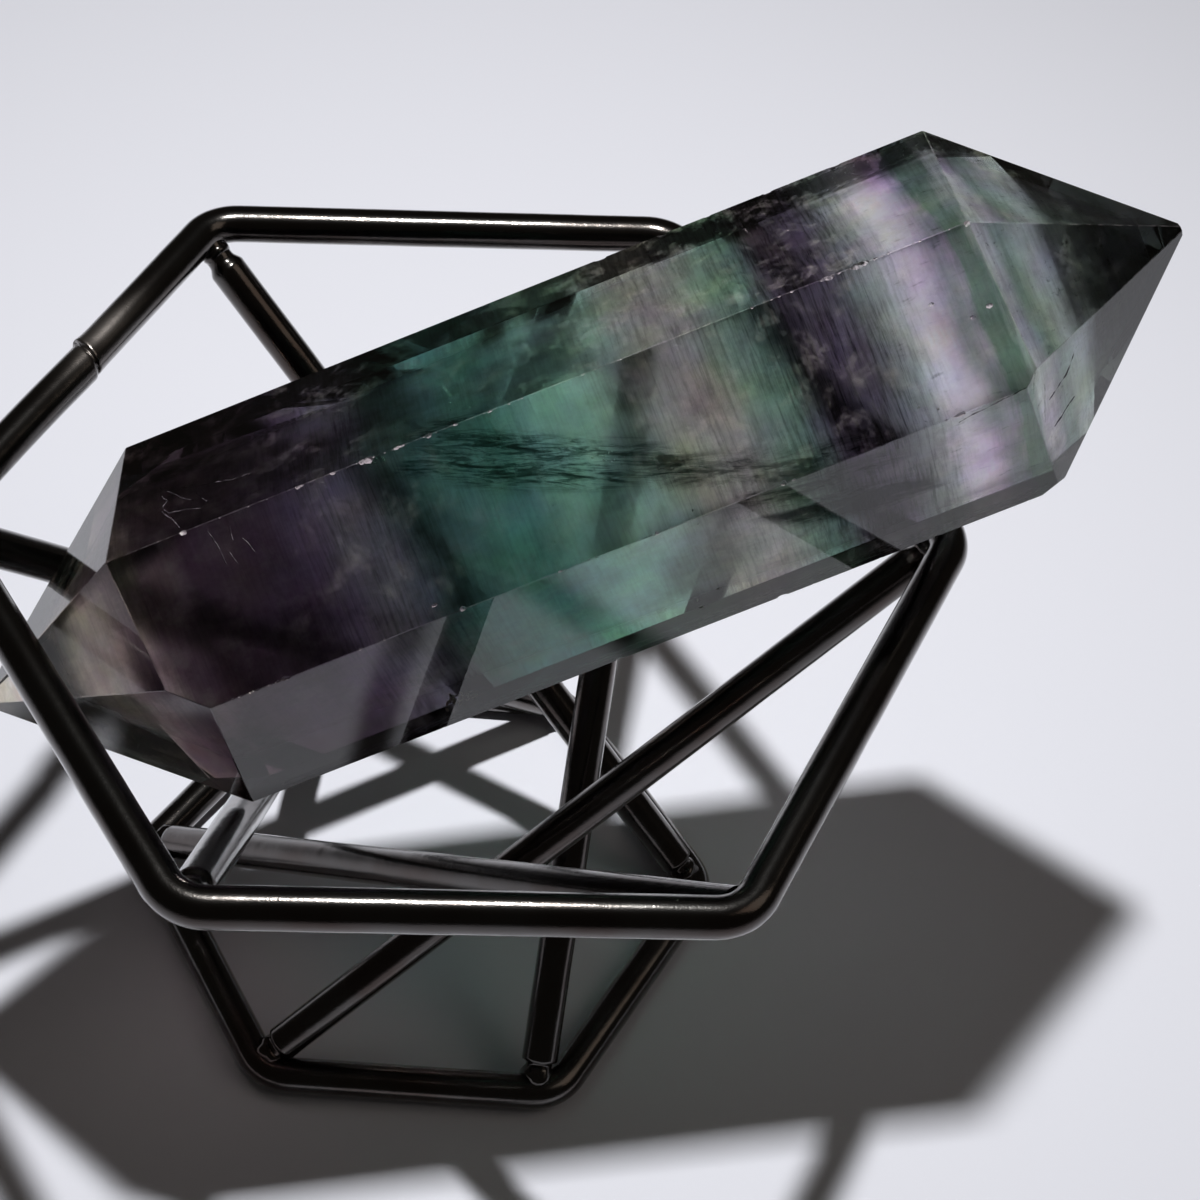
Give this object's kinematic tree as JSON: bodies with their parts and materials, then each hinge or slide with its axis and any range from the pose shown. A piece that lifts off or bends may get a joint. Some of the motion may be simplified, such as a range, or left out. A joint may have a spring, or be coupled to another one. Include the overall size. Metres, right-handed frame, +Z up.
{
  "type": "fluorite double point on a wire stand",
  "caption": "Polished fluorite crystal, pointed at both ends, resting at a slant across a twisted hexagonal wire stand.",
  "frame": {"origin": "middle of the overall box, on the surface that the stand's lower ring lies on", "axes": "+X towards the crystal's raised tip, +Y away from the front of the stand, +Z up"},
  "size_m": [0.0894, 0.0696, 0.0778],
  "materials": {
    "fluorite": "polished natural fluorite, see-through, banded purple, green and grey",
    "black_nickel": "glossy black nickel plate over steel wire"
  },
  "bodies": {
    "root": {"fluorite_point": "fluorite", "top_ring": "black_nickel", "base_ring": "black_nickel", "strut_1": "black_nickel", "strut_2": "black_nickel", "strut_3": "black_nickel", "strut_4": "black_nickel", "strut_5": "black_nickel", "strut_6": "black_nickel"}
  },
  "joints": []
}
